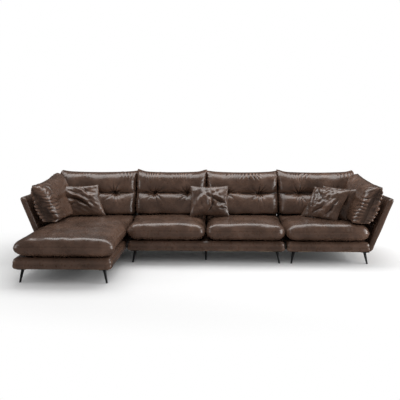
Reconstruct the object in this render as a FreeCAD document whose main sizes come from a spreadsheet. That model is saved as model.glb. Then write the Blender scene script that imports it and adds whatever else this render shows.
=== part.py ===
import FreeCAD, Part
import math
import os
from FreeCAD import Vector

# Leather corner sofa in three joined modules: a chaise with the left arm, a two-seat middle
# and an end seat with the right arm. Millimetres. +X runs to the right of someone facing the
# sofa, the front faces -Y and +Z is up. The origin is on the floor, under the middle of the
# whole sofa.

# Driving dimensions: alias, value, what it is
SIZES = [
    ("chaise_width", 942, "chaise module, across its base"),
    ("middle_width", 1700, "two-seat middle module, across its base"),
    ("end_width", 924, "end module, across its base"),
    ("module_gap", 12, "space between two joined modules"),
    ("base_depth", 770, "front of the base to the outer foot of the back"),
    ("chaise_reach", 695, "how far the chaise comes forward of the row"),
    ("leg_height", 132, "floor to the underside of the base"),
    ("band_height", 112, "height of the padded base band"),
    ("band_round", 30, "rounded outer edges of the base band"),
    ("cover_wall", 34, "padding and leather round the base rails"),
    ("deck_thickness", 26, "sprung deck under the seat cushions"),
    ("rail_thickness", 28, "timber base rail"),
    ("strap_width", 60, "elastic webbing strap, width"),
    ("strap_thickness", 2, "elastic webbing strap, thickness"),
    ("strap_pitch", 118, "distance between neighbouring straps, at most"),
    ("cloth", 1.2, "dust cloth under the base"),
    ("panel_slant", 20, "outward lean of arms and back, degrees from upright"),
    ("panel_wall", 74, "thickness of arms and back, square to their face"),
    ("panel_round", 24, "rounded upper edges of arms and back"),
    ("arm_round", 12, "rounded edges of an arm's front face"),
    ("arm_top", 603, "height of an arm at its front"),
    ("back_top", 712, "height of the back panels"),
    ("arm_setback", 30, "front of an arm behind the front of the row"),
    ("board", 22, "timber board inside an arm or back"),
    ("board_inset", 60, "edge of that board inside the padding"),
    ("leg_inset", 84, "leg centre from the side of the base"),
    ("leg_setback", 74, "leg centre from the front or the back of the base"),
    ("leg_splay", 25, "sideways run of a leg from its top to its foot"),
    ("leg_rake", 24, "forward or backward run of a leg"),
    ("leg_top_radius", 16.5, "leg radius under its plate"),
    ("leg_foot_radius", 9, "leg radius at the foot"),
    ("plate_side", 84, "welded square plate on a leg"),
    ("plate_thickness", 4, "thickness of that plate"),
    ("glide_radius", 10.5, "plastic glide under a leg"),
    ("glide_height", 5, "height of a glide"),
    ("centre_leg_setback", 155, "middle support legs from the front or the back"),
    ("connector_length", 90, "steel plate that joins two modules, along X"),
    ("connector_width", 50, "the same plate, along Y"),
    ("connector_thickness", 5, "thickness of the same plate"),
    ("connector_inset", 190, "plate centre from the front or the back"),
    ("seat_thickness", 176, "seat cushion at the edge of its top"),
    ("seat_crown", 18, "rise of a seat cushion's middle over its edge"),
    ("seat_nose", 12, "seat cushion's front edge ahead of the base"),
    ("seat_shoulder", 74, "depth of the rounded front edge of a seat cushion"),
    ("seat_overhang", 4, "seat cushion past the side of its module's base"),
    ("seat_back_room", 8, "space behind a seat cushion at its foot"),
    ("seat_split", 8, "space between the two middle seat cushions"),
    ("back_cushion_depth", 226, "back cushion at its fullest, along Y"),
    ("back_cushion_top", 905, "top of the back cushions"),
    ("back_seam_height", 662, "height of the sewn cross seam"),
    ("back_seam_depth", 46, "how deep the seam sits under the fullest front"),
    ("tuft_depth", 34, "extra depth of the seam at a sewn tuft"),
    ("tuft_share", 0.27, "tuft from the cushion's side, as a share of its width"),
    ("back_brow", 34, "front edge of a back cushion's top below its crest"),
    ("back_nape", 52, "rear edge of a back cushion's top below its crest"),
    ("back_cushion_room", 10, "back cushion's side inside the side of its base"),
    ("side_cushion_slant", 18.6, "outward lean of the side cushions, degrees"),
    ("side_cushion_width", 240, "side cushion at its fullest, along X"),
    ("side_cushion_front", 34, "front end of a side cushion behind the row's front"),
    ("side_cushion_top", 815, "top of a side cushion at its front"),
    ("side_cushion_rise", 70, "rise of that top towards the back"),
    ("side_brow", 42, "rounded shoulders of a side cushion below its crest"),
    ("pillow_side", 456, "loose pillow, edge to edge"),
    ("pillow_fullness", 108, "loose pillow at its thickest"),
    ("pillow_hem", 7, "thickness of a loose pillow's sewn edge"),
    ("pillow_draw", 15, "how far a pillow's sides pull in between its corners"),
    ("pillow_middle_offset", 32, "middle pillow to the right of the module's middle"),
    ("pillow_side_inset", 440, "middle of the chaise pillow from the side of the base"),
    ("pillow_pair_inset", 330, "middle of the leaning pair from the side of the base"),
    ("pillow_pair_offset", 55, "front pillow of the pair to the left along its edge"),
    ("rest_gap", 0.4, "gap between pieces that only rest on each other"),
]

doc = FreeCAD.newDocument("corner_sofa")
sheet = doc.addObject("Spreadsheet::Sheet", "Sizes")
for row, (alias, number, meaning) in enumerate(SIZES, 1):
    sheet.set(f"A{row}", meaning)
    sheet.set(f"B{row}", str(number))
    sheet.setAlias(f"B{row}", alias)
doc.recompute()


def size(expression):
    """The value of an expression in the sheet's aliases, each written as Sizes.alias."""
    return float(sheet.evalExpression(expression))


# Places that several pieces share, as expressions in the sheet's values
HALF = "((Sizes.chaise_width + Sizes.middle_width + Sizes.end_width + 2 * Sizes.module_gap) / 2)"
LEAN = "tan(Sizes.panel_slant)"
BAND_TOP = "(Sizes.leg_height + Sizes.band_height)"
WALL_Y = "(Sizes.panel_wall / cos(Sizes.panel_slant))"
ROUND_Y = "(Sizes.panel_round - Sizes.panel_round / cos(Sizes.panel_slant))"
BACK_FLARE = (
    f"((Sizes.back_top - Sizes.panel_round - Sizes.leg_height) * {LEAN} + {ROUND_Y})"
)
FRONT = (
    "((Sizes.chaise_reach + Sizes.seat_nose - Sizes.base_depth"
    f" - {BACK_FLARE}) / 2)"
)
BACK = f"({FRONT} + Sizes.base_depth)"
CHAISE_FRONT = f"({FRONT} - Sizes.chaise_reach)"
CHAISE_LEFT = f"(-{HALF})"
CHAISE_RIGHT = f"({CHAISE_LEFT} + Sizes.chaise_width)"
MIDDLE_LEFT = f"({CHAISE_RIGHT} + Sizes.module_gap)"
MIDDLE_RIGHT = f"({MIDDLE_LEFT} + Sizes.middle_width)"
END_LEFT = f"({MIDDLE_RIGHT} + Sizes.module_gap)"
END_RIGHT = f"({HALF})"
FRAME_FOOT = "(Sizes.leg_height + Sizes.cloth)"
STRAP_FOOT = f"({BAND_TOP} - Sizes.deck_thickness - 2 * Sizes.strap_thickness)"
SEAT_FOOT = f"({BAND_TOP} + Sizes.rest_gap)"

half = size(HALF)
lean = size(LEAN)
floor_gap = size("Sizes.leg_height")
band_top = size(BAND_TOP)
wall = size(WALL_Y)
front = size(FRONT)
back = size(BACK)
clear = size("Sizes.rest_gap")
MODULES = {
    "chaise": (size(CHAISE_LEFT), size(CHAISE_RIGHT), size(CHAISE_FRONT), True, False),
    "middle": (size(MIDDLE_LEFT), size(MIDDLE_RIGHT), front, False, False),
    "end": (size(END_LEFT), size(END_RIGHT), front, False, True),
}
SUB_PARTS = []


def sub_part(piece, label):
    """Give a finished piece the name that its file gets."""
    piece.Label = label
    SUB_PARTS.append(piece)
    return piece


def feature(label, shape):
    """A sub-part whose shape is worked out from the sheet's values."""
    piece = doc.addObject("Part::Feature", label)
    piece.Shape = shape
    piece.Placement = shape.Placement
    return sub_part(piece, label)


def bind(piece, **sizes):
    """Tie a primitive's properties to expressions; x, y and z are its place."""
    for name, expression in sizes.items():
        path = f"Placement.Base.{name}" if name in "xyz" else name
        piece.setExpression(path, expression)
    return piece


def box(name, x, y, z, length, width, height):
    piece = doc.addObject("Part::Box", name)
    return bind(piece, x=x, y=y, z=z, Length=length, Width=width, Height=height)


def polygon(points):
    return Part.Wire(Part.makePolygon([Vector(*p) for p in points + points[:1]]))


def line(a, b):
    return Part.makeLine(Vector(*a), Vector(*b))


def arc(a, through, b):
    return Part.Arc(Vector(*a), Vector(*through), Vector(*b)).toShape()


def flare(z):
    """How far an arm or the back leans out at a height."""
    return (z - floor_gap) * lean


def mirror_x(shape, middle):
    """A shape's mirror image, left for right, about the upright plane x = middle."""
    return shape.mirror(Vector(middle, 0, 0), Vector(1, 0, 0))


# Slanted panels: the arms and the back, with their boards
panel_round = size("Sizes.panel_round")
board_wall = size("Sizes.board / cos(Sizes.panel_slant)")
board_side = (wall - board_wall) / 2
board_inset = size("Sizes.board_inset")
back_top = size("Sizes.back_top")
arm_top = size("Sizes.arm_top")
arm_front = front + size("Sizes.arm_setback")
corner_y = back + flare(back_top)


def on_circle(centre, radius, angle):
    return (centre[0] + radius * math.cos(angle), centre[1] + radius * math.sin(angle))


def panel_section(foot_out, foot_in, top, radius, place):
    """Outline of a slanted panel: flat foot, leaning sides and a top with rounded edges."""
    turn = math.atan(lean)
    upright = math.pi / 2
    over = flare(top - radius)
    out = (foot_out + over - radius / math.cos(turn), top - radius)
    inner = (foot_in + over + radius / math.cos(turn), top - radius)
    outline = [
        (foot_out, floor_gap),
        on_circle(out, radius, -turn),
        on_circle(out, radius, (upright - turn) / 2),
        on_circle(out, radius, upright),
        on_circle(inner, radius, upright),
        on_circle(inner, radius, (upright + 2 * upright - turn) / 2),
        on_circle(inner, radius, 2 * upright - turn),
        (foot_in, floor_gap),
    ]
    p = [place(*point) for point in outline]
    return Part.Wire([line(p[0], p[1]), arc(p[1], p[2], p[3]), line(p[3], p[4]),
                      arc(p[4], p[5], p[6]), line(p[6], p[7]), line(p[7], p[0])])


def arm_blank(inset_side, start, drop, radius):
    """An arm of the end module, running on past the corner; drop lowers its top."""
    rise = (back_top - arm_top) / (corner_y - arm_front)
    past = corner_y + wall
    foot_out = half - inset_side
    foot_in = half - wall + inset_side
    sections = []
    for y in (start, past):
        top = arm_top + rise * (y - arm_front) - drop
        sections.append(panel_section(foot_out, foot_in, top, radius,
                                      lambda x, z, y=y: (x, y, z)))
    return Part.makeLoft(sections, True, True)


def back_blank(inset_side, left, right, drop, radius):
    """A back panel between two places along X; drop lowers its top."""
    foot_out = back - inset_side
    foot_in = back - wall + inset_side
    sections = [panel_section(foot_out, foot_in, back_top - drop, radius,
                              lambda y, z, x=x: (x, y, z)) for x in (left, right)]
    return Part.makeLoft(sections, True, True)


def corner_wedge(keep_arm):
    """The half of space on the arm's or the back's side of the mitre in the right corner."""
    far = 4 * half
    a = (half - far, back - far, -far)
    b = (half + far, back + far, -far)
    c = (half + far, back - far, -far) if keep_arm else (half - far, back + far, -far)
    return Part.Face(polygon([a, b, c])).extrude(Vector(0, 0, 2 * far))


def rounded(shape, radius, chosen):
    edges = [e for e in shape.Edges if chosen(e)]
    return shape.makeFillet(radius, edges) if edges else shape


def make_arms():
    """Both arms: board inside, padded cover with a slot for the board from below."""
    board_radius = panel_round / 4
    cover = arm_blank(0, arm_front, 0, panel_round).common(corner_wedge(True))
    at_front = lambda e: all(abs(v.Y - arm_front) < 0.1 for v in e.Vertexes)
    off_foot = lambda e: e.CenterOfMass.z > floor_gap + 1
    cover = rounded(cover, size("Sizes.arm_round"), lambda e: at_front(e) and off_foot(e))
    mitre_room = board_inset * math.sqrt(2)
    board = arm_blank(board_side, arm_front + board_inset, board_inset, board_radius)
    board = board.common(corner_wedge(True).translated(Vector(0, -mitre_room, 0)))
    cover = cover.cut(board)
    feature("arm_board_right", board)
    feature("arm_cover_right", cover)
    feature("arm_board_left", mirror_x(board, 0))
    feature("arm_cover_left", mirror_x(cover, 0))


def make_backs():
    """The three back panels, mitred to the arms at the two outer corners."""
    past = half + flare(back_top) + wall
    spans = {
        "chaise": (-past, size(CHAISE_RIGHT)),
        "middle": (size(MIDDLE_LEFT), size(MIDDLE_RIGHT)),
        "end": (size(END_LEFT), past),
    }
    mitre_room = board_inset * math.sqrt(2)
    wedge = corner_wedge(False)
    board_wedge = wedge.translated(Vector(-mitre_room, 0, 0))
    for name, (left, right) in spans.items():
        cover = back_blank(0, left, right, 0, panel_round)
        board = back_blank(board_side, left + board_inset, right - board_inset,
                           board_inset, panel_round / 4)
        if name == "end":
            cover = cover.common(wedge)
            board = board.common(board_wedge)
        if name == "chaise":
            cover = cover.common(mirror_x(wedge, 0))
            board = board.common(mirror_x(board_wedge, 0))
        feature(f"back_board_{name}", board)
        feature(f"back_cover_{name}", cover.cut(board))


# Bases: padded cover with its deck, timber rails, webbing, dust cloth
def base_outline(name, z, inset):
    """A base's plan at a height, inside its arm and back, moved in by inset all round."""
    left, right, module_front, left_arm, right_arm = MODULES[name]
    rear = back - wall + flare(z) - inset
    low = left + inset
    high = right - inset
    if right_arm:
        high = right - wall + flare(z) - inset
    if not left_arm:
        return polygon([(low, module_front + inset, z), (high, module_front + inset, z),
                        (high, rear, z), (low, rear, z)])
    inner = left + wall - flare(z) + inset
    step = arm_front - clear - inset
    return polygon([(low, module_front + inset, z), (high, module_front + inset, z),
                    (high, rear, z), (inner, rear, z), (inner, step, z), (low, step, z)])


def base_block(name, low, high, inset):
    sections = [base_outline(name, z, inset) for z in (low, high)]
    return Part.makeLoft(sections, True, True)


def make_base(name):
    """One module's padded base, with a hollow from below, and the rails in that hollow."""
    left, right, module_front, left_arm, right_arm = MODULES[name]
    cover_wall = size("Sizes.cover_wall")
    rail = size("Sizes.rail_thickness")
    hollow_top = size(f"{BAND_TOP} - Sizes.deck_thickness")
    block = base_block(name, floor_gap, band_top, 0)
    by_arm_side = lambda v: (right_arm and v.X > right - wall - 1) or (
        left_arm and v.X < left + wall + 1 and v.Y > arm_front - 2)
    free = lambda e: all(v.Y < back - wall - 1 and not by_arm_side(v) for v in e.Vertexes)
    outer = lambda e: e.Length > 50 and free(e)
    block = rounded(block, size("Sizes.band_round"), outer)
    hollow = base_block(name, floor_gap, hollow_top, cover_wall)
    feature(f"base_cover_{name}", block.cut(hollow))
    foot = size(FRAME_FOOT)
    frame = base_block(name, foot, size(STRAP_FOOT), cover_wall)
    inner = base_block(name, foot, size(STRAP_FOOT), cover_wall + rail)
    frame = frame.cut(inner)
    frame = frame.fuse(cross_rails(name, cover_wall, rail, foot)).removeSplitter()
    feature(f"base_frame_{name}", frame)


def cross_rails(name, cover_wall, rail, foot):
    """Cross rails of a base frame: over the middle legs and where the chaise steps out."""
    left, right, module_front, left_arm, right_arm = MODULES[name]
    height = size(STRAP_FOOT) - foot
    depth = back - wall - module_front - 2 * cover_wall
    rails = []
    middles = [(left + right) / 2] if name != "middle" else [
        left + (right - left) * share for share in (1 / 3, 1 / 2, 2 / 3)]
    for x in middles:
        start = Vector(x - rail / 2, module_front + cover_wall, foot)
        rails.append(Part.makeBox(rail, depth, height, start))
    if left_arm:
        start = Vector(left + wall + cover_wall, front, foot)
        rails.append(Part.makeBox(right - left - wall - 2 * cover_wall, rail, height, start))
    return rails


def straps_between(low, high):
    """Middles of the straps that share a span evenly."""
    pitch = size("Sizes.strap_pitch")
    count = max(2, math.ceil((high - low) / pitch))
    return [low + (high - low) * (n + 0.5) / count for n in range(count)]


def make_webbing(name):
    """Two crossed layers of flat elastic straps on a base's rails."""
    left, right, module_front, left_arm, right_arm = MODULES[name]
    cover_wall = size("Sizes.cover_wall")
    width = size("Sizes.strap_width")
    thick = size("Sizes.strap_thickness")
    z = size(STRAP_FOOT)
    low_x = left + cover_wall + (wall - flare(z) if left_arm else 0)
    high_x = right - cover_wall - (wall - flare(z) if right_arm else 0)
    low_y = module_front + cover_wall
    high_y = back - wall - cover_wall + flare(floor_gap)
    straps = []
    for x in straps_between(low_x, high_x):
        straps.append(Part.makeBox(width, high_y - low_y, thick,
                                   Vector(x - width / 2, low_y, z)))
    for y in straps_between(low_y, high_y):
        straps.append(Part.makeBox(high_x - low_x, width, thick,
                                   Vector(low_x, y - width / 2, z + thick)))
    feature(f"webbing_{name}", Part.makeCompound(straps))


def make_dust_cloth(name):
    """Thin cloth on the underside of the rails, which closes a base from below."""
    cloth = base_block(name, floor_gap, size(FRAME_FOOT), size("Sizes.cover_wall"))
    feature(f"dust_cloth_{name}", cloth)


# Legs, glides and the plates that join the modules
def make_leg(name, x, y, side, fore):
    """A tapered steel leg: side and fore are -1, 0 or 1, the way its foot runs out."""
    top = bind(doc.addObject("Part::Circle", f"{name}_top"), x=x, y=y,
               z="Sizes.leg_height - Sizes.plate_thickness", Radius="Sizes.leg_top_radius")
    foot = bind(doc.addObject("Part::Circle", f"{name}_foot"),
                x=f"{x} + {side} * Sizes.leg_splay", y=f"{y} + {fore} * Sizes.leg_rake",
                z="Sizes.glide_height", Radius="Sizes.leg_foot_radius")
    shank = doc.addObject("Part::Loft", f"{name}_shank")
    shank.Sections = [top, foot]
    shank.Solid = True
    shank.Ruled = True
    plate = box(f"{name}_plate", f"{x} - Sizes.plate_side / 2", f"{y} - Sizes.plate_side / 2",
                "Sizes.leg_height - Sizes.plate_thickness",
                "Sizes.plate_side", "Sizes.plate_side", "Sizes.plate_thickness")
    leg = doc.addObject("Part::MultiFuse", name)
    leg.Shapes = [shank, plate]
    sub_part(leg, name)
    glide = doc.addObject("Part::Cylinder", f"{name}_glide")
    return bind(glide, x=f"{x} + {side} * Sizes.leg_splay",
                y=f"{y} + {fore} * Sizes.leg_rake", z="0",
                Radius="Sizes.glide_radius", Height="Sizes.glide_height")


def make_module_legs(name, left, right, module_front):
    """Four splayed legs, and two upright ones under the middle of the two-seat module."""
    near = f"({module_front} + Sizes.leg_setback)"
    rear = f"({BACK} - {WALL_Y} - Sizes.leg_setback)"
    first = f"({left} + Sizes.leg_inset)"
    last = f"({right} - Sizes.leg_inset)"
    glides = []
    for fore_name, y, fore in (("front", near, -1), ("rear", rear, 1)):
        for side_name, x, side in (("left", first, -1), ("right", last, 1)):
            glides.append(make_leg(f"leg_{name}_{fore_name}_{side_name}", x, y, side, fore))
    if name == "middle":
        x = f"(({left} + {right}) / 2)"
        near = f"({module_front} + Sizes.centre_leg_setback)"
        rear = f"({BACK} - {WALL_Y} - Sizes.centre_leg_setback)"
        glides.append(make_leg(f"leg_{name}_front_centre", x, near, 0, 0))
        glides.append(make_leg(f"leg_{name}_rear_centre", x, rear, 0, 0))
    group = doc.addObject("Part::Compound", f"glides_{name}")
    group.Links = glides
    sub_part(group, f"glides_{name}")


def make_connectors():
    """Flat steel plates under the base that hold each module to the next."""
    plates = []
    joints = ((CHAISE_RIGHT, "chaise_middle"), (MIDDLE_RIGHT, "middle_end"))
    for edge, pair in joints:
        x = f"({edge} + Sizes.module_gap / 2 - Sizes.connector_length / 2)"
        for place, y in (("front", f"({FRONT} + Sizes.connector_inset)"),
                         ("rear", f"({BACK} - {WALL_Y} - Sizes.connector_inset)")):
            plates.append(box(f"connector_{pair}_{place}", x,
                              f"{y} - Sizes.connector_width / 2",
                              "Sizes.leg_height - Sizes.connector_thickness",
                              "Sizes.connector_length", "Sizes.connector_width",
                              "Sizes.connector_thickness"))
    group = doc.addObject("Part::Compound", "module_connectors")
    group.Links = plates
    sub_part(group, "module_connectors")


# Seat cushions: crowned top, round nose, sides drawn in
seat_foot = size(SEAT_FOOT)
seat_thickness = size("Sizes.seat_thickness")
seat_crown = size("Sizes.seat_crown")
seat_rear = back - wall + flare(seat_foot) - size("Sizes.seat_back_room")
# Share of the width in from the side, share of the height, inset of front and back
SEAT_DRAW = [(0.0, 0.50, 46), (0.012, 0.74, 22), (0.035, 0.88, 9), (0.09, 0.97, 2),
             (0.25, 1.0, 0)]


def seat_section(x, nose, height_share, inset):
    """A seat cushion's outline at x: flat foot, round nose, crowned top."""
    middle = seat_foot + seat_thickness * 0.46
    foot = middle - (middle - seat_foot) * height_share
    tall = seat_thickness * height_share
    crown = seat_crown * height_share ** 2
    nose = nose + inset
    rear = seat_rear - inset
    tuck = tall * 0.2
    low = (x, nose + tuck, foot)
    tip = (x, nose, foot + tall * 0.4)
    brow = (x, nose + tuck, foot + tall * 0.8)
    brow_mid = (x, nose + tuck + tall * 0.1, foot + tall * 0.915)
    shoulder = (x, nose + size("Sizes.seat_shoulder"), foot + tall)
    top = (x, (nose + rear) / 2, foot + tall + crown)
    tail = (x, rear - tuck, foot + tall * 0.95)
    tail_mid = (x, rear, foot + tall * 0.5)
    heel = (x, rear - tuck, foot)
    return Part.Wire([line(heel, low), arc(low, tip, brow), arc(brow, brow_mid, shoulder),
                      arc(shoulder, top, tail), arc(tail, tail_mid, heel)])


def make_seat(label, left, right, nose):
    sections = []
    shares = SEAT_DRAW + [(1 - s, h, i) for s, h, i in reversed(SEAT_DRAW)]
    for share, height_share, inset in shares:
        sections.append(seat_section(left + (right - left) * share, nose,
                                     height_share, inset))
    return feature(label, Part.makeLoft(sections, True, True))


def make_seats():
    """The long chaise cushion, two middle cushions and the end cushion."""
    over = size("Sizes.seat_overhang")
    by_arm = half - wall + flare(seat_foot) - clear
    split = size("Sizes.seat_split")
    nose = front - size("Sizes.seat_nose")
    chaise_right, chaise_front = MODULES["chaise"][1:3]
    left, right = MODULES["middle"][:2]
    end_left = MODULES["end"][0]
    middle = (left + right) / 2
    return {
        "chaise": make_seat("seat_cushion_chaise", -by_arm, chaise_right + over,
                            chaise_front - size("Sizes.seat_nose")),
        "left": make_seat("seat_cushion_left", left - over, middle - split / 2, nose),
        "right": make_seat("seat_cushion_right", middle + split / 2, right + over, nose),
        "end": make_seat("seat_cushion_end", end_left - over, by_arm, nose),
    }


# Each step of settling takes up what is left of the gap, so a few are enough
SETTLE_STEPS = 4


def top_of(shape):
    """The height of a shape's highest point."""
    return shape.optimalBoundingBox(False).ZMax


def surface_height(shape, x, y):
    """The highest point of a shape above a place on the plan, or None beside it."""
    reach = shape.BoundBox
    ray = Part.makeLine(Vector(x, y, reach.ZMin - 10), Vector(x, y, reach.ZMax + 10))
    heights = [vertex.Z for vertex in ray.common(shape).Vertexes]
    return max(heights) if heights else None


def settle(shape, seats, way=Vector(0, 0, -1)):
    """Slide a piece along way, from well above the seats, until it rests on them."""
    shape = shape.translated(way * -seat_thickness)
    for _ in range(SETTLE_STEPS):
        room = min(shape.distToShape(seat.Shape)[0] for seat in seats)
        shape = shape.translated(way * (room - clear))
    return shape


def reach_past(shape, normal, foot_point):
    """How far a shape reaches past a plane, along the plane's normal."""
    points = shape.tessellate(0.3)[0]
    return max((p - foot_point).dot(normal) for p in points)


def unit(x, y, z):
    return Vector(x, y, z).normalize()


# Back cushions: two lobes with a sewn cross seam, two tufts and gathered sides
back_depth = size("Sizes.back_cushion_depth")


def panel_face(z):
    """Where the back panels' front face is along Y at a height."""
    return back - wall + flare(z)


def back_section(x, foot, share, seam_extra, lift):
    """A back cushion's outline at x; share thins it, seam_extra deepens its cross seam."""
    seam_z = size("Sizes.back_seam_height")
    top = size("Sizes.back_cushion_top") + lift
    seam_depth = size("Sizes.back_seam_depth") * share + seam_extra
    depth = back_depth * share
    rear = (1 - share) * back_depth * 0.3 + clear

    def at(offset, z):
        return (x, panel_face(z) - rear - offset, z)
    low_back = at(0, foot)
    low_front = at(depth * 0.86, foot)
    low_lobe = at(depth, foot + (seam_z - foot) * 0.5)
    seam = at(depth - seam_depth, seam_z)
    high_lobe = at(depth * 0.93, seam_z + (top - seam_z) * 0.42)
    brow = at(depth * 0.62, top - size("Sizes.back_brow") * share)
    crest = at(depth * 0.34, top)
    nape = at(depth * 0.05, top - size("Sizes.back_nape") * share)
    return Part.Wire([line(low_back, low_front), arc(low_front, low_lobe, seam),
                      arc(seam, high_lobe, brow), arc(brow, crest, nape),
                      line(nape, low_back)])


def make_back_cushion(label, left, right, seat):
    probe_y = panel_face(top_of(seat.Shape)) - back_depth
    foot = surface_height(seat.Shape, (left + right) / 2, probe_y) + clear
    tuft = size("Sizes.tuft_share")
    extra = size("Sizes.tuft_depth")
    rows = [(0.0, 0.42, 0, 6), (0.02, 0.66, 0, 8), (0.06, 0.86, 0, 2),
            (tuft - 0.09, 0.98, 0, 0), (tuft, 0.97, extra, -3),
            (tuft + 0.09, 0.99, 0, 0), (0.5, 1.0, 0, 0)]
    rows += [(1 - s, h, e, u) for s, h, e, u in reversed(rows[:-1])]
    sections = [back_section(left + (right - left) * s, foot, h, e, u)
                for s, h, e, u in rows]
    return feature(label, Part.makeLoft(sections, True, True))


def make_back_cushions(seats):
    room = size("Sizes.back_cushion_room")
    left, right = MODULES["middle"][:2]
    middle = (left + right) / 2
    chaise_left, chaise_right = MODULES["chaise"][:2]
    end_left, end_right = MODULES["end"][:2]
    gap = size("Sizes.seat_split") / 2
    spans = {
        "chaise": (chaise_left + room, chaise_right + gap / 2),
        "left": (left - gap / 2, middle - gap),
        "right": (middle + gap, right + gap / 2),
        "end": (end_left - gap / 2, end_right - room),
    }
    return {name: make_back_cushion(f"back_cushion_{name}", low, high, seats[name])
            for name, (low, high) in spans.items()}


# Side cushions: tall, leaning out on the arms, gathered at their front ends
side_lean = size("tan(Sizes.side_cushion_slant)")
side_width = size("Sizes.side_cushion_width")


def back_plane(z):
    """The plane in front of every back cushion, along Y at a height."""
    return panel_face(z) - back_depth - 2 * clear


def side_outer(z):
    """The leaning plane just outside the right side cushion, along X at a height."""
    return half - wall + flare(arm_top) + (z - arm_top) * side_lean


def side_section(y, foot, top, share, tilt):
    """A side cushion's outline; tilt leans the section back with the back cushions."""
    slim = side_width * (1 - share) / 2
    tall = top - foot

    def at(offset, z):
        outer = side_outer(foot) + (z - foot) * side_lean
        return (outer - offset, y + tilt * (z - foot), z)
    low_out = at(slim + side_width * 0.24 * share, foot)
    low_in = at(slim + side_width * 0.9 * share, foot)
    belly_in = at(slim + side_width * share, foot + tall * 0.5)
    brow_in = at(slim + side_width * 0.84 * share, top - size("Sizes.side_brow") * share)
    crest = at(slim + side_width * 0.5 * share, top)
    brow_out = at(slim + side_width * 0.12 * share, top - size("Sizes.side_brow") * share)
    belly_out = at(slim + clear, foot + tall * 0.5)
    return Part.Wire([line(low_out, low_in), arc(low_in, belly_in, brow_in),
                      arc(brow_in, crest, brow_out), arc(brow_out, belly_out, low_out)])


def make_side_cushions(seats):
    """The right side cushion, and its mirror image on the chaise."""
    start = front + size("Sizes.side_cushion_front")
    top = size("Sizes.side_cushion_top")
    rise = size("Sizes.side_cushion_rise")
    foot = max(top_of(seats[n].Shape) for n in ("chaise", "end")) + clear
    end = back_plane(foot) - clear
    rows = [(0.0, 0.50), (0.045, 0.72), (0.11, 0.88), (0.25, 0.97), (0.5, 1.0),
            (0.75, 0.98), (0.92, 0.84), (1.0, 0.55)]
    sections = [side_section(start + (end - start) * s, foot, top + rise * s, h, lean * s)
                for s, h in rows]
    shape = Part.makeLoft(sections, True, True)
    normal = unit(1, 0, -lean)
    arm_face = Vector(half - wall + flare(0), 0, 0)
    out = -reach_past(shape, normal, arm_face) / normal.x - clear
    shape = shape.translated(Vector(out, 0, 0))
    feature("side_cushion_right", shape)
    feature("side_cushion_left", mirror_x(shape, 0))


# Loose pillows: square, full in the middle, with pointed corners
def pillow_blank():
    """A pillow standing on its lower edge at the origin, its face towards -Y."""
    side = size("Sizes.pillow_side")
    full = size("Sizes.pillow_fullness")
    hem = size("Sizes.pillow_hem")
    draw = size("Sizes.pillow_draw")
    sections = []
    for step in (-1, -0.9, -0.68, -0.36, 0, 0.36, 0.68, 0.9, 1):
        bulge = hem / 2 + (full - hem) / 2 * (1 - abs(step) ** 2.2)
        high = side / 2 - draw * (1 - step ** 2)
        x = (side / 2) * step
        a = (x, -hem / 2, -high)
        b = (x, -hem / 2, high)
        c = (x, hem / 2, high)
        d = (x, hem / 2, -high)
        front_face = arc(a, (x, -max(bulge, hem * 0.6), 0), b)
        rear_face = arc(c, (x, max(bulge, hem * 0.6), 0), d)
        sections.append(Part.Wire([front_face, line(b, c), rear_face, line(d, a)]))
    return Part.makeLoft(sections, True, True)


def stand(shape, lean_back, roll, turn, x, y, z):
    """Lean a pillow back, roll it in its own plane, turn it and set it on a height z."""
    placed = shape.copy()
    origin = Vector(0, 0, 0)
    placed.rotate(origin, Vector(0, 1, 0), roll)
    placed.rotate(origin, Vector(1, 0, 0), -lean_back)
    placed.rotate(origin, Vector(0, 0, 1), turn)
    low = placed.optimalBoundingBox(False).ZMin
    placed.translate(Vector(x, y, z - low))
    return placed


def lean_on_back(shape):
    """Move a pillow along Y until it just rests on the plane of the back cushions."""
    normal = unit(0, 1, -lean)
    past = reach_past(shape, normal, Vector(0, back_plane(0), 0))
    return shape.translated(Vector(0, -(past + 2 * clear) / normal.y, 0))


def make_pillows(seats):
    """One pillow on the chaise, one in the middle and a leaning pair at the right."""
    blank = pillow_blank()
    chaise_left = MODULES["chaise"][0]
    left, right = MODULES["middle"][:2]
    centre = (left + right) / 2 + size("Sizes.pillow_middle_offset")
    inset = size("Sizes.pillow_side_inset")
    lone = stand(blank, 27, 0, 2, centre, 0, seat_foot + seat_thickness)
    lone = settle(lean_on_back(lone), (seats["left"], seats["right"]))
    feature("pillow_middle", settle(lean_on_back(lone), (seats["left"], seats["right"])))
    lone = stand(blank, 24, -6, 15, chaise_left + inset, 0, seat_foot + seat_thickness)
    lone = settle(lean_on_back(lone), (seats["chaise"],))
    feature("pillow_left", settle(lean_on_back(lone), (seats["chaise"],)))
    turn, lean_back = -44, 24
    tilt = math.radians(lean_back)
    out = unit(math.sin(math.radians(turn)), -math.cos(math.radians(turn)), 0)
    face = Vector(out.x * math.cos(tilt), out.y * math.cos(tilt), math.sin(tilt))
    along = unit(math.cos(math.radians(turn)), math.sin(math.radians(turn)), 0)
    rear = stand(blank, lean_back, 0, turn, half - size("Sizes.pillow_pair_inset"),
                 back_plane(seat_foot), seat_foot + seat_thickness)
    rear = clear_of_planes(settle(rear, (seats["end"],)), out)
    rear = settle(rear, (seats["end"],))
    feature("pillow_right_rear", rear)
    shift = face * (size("Sizes.pillow_fullness") + clear)
    fore = rear.translated(shift - along * size("Sizes.pillow_pair_offset"))
    down = Vector(out.x * math.sin(tilt), out.y * math.sin(tilt), -math.cos(tilt))
    feature("pillow_right_fore", settle(fore, (seats["end"],), down))


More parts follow.
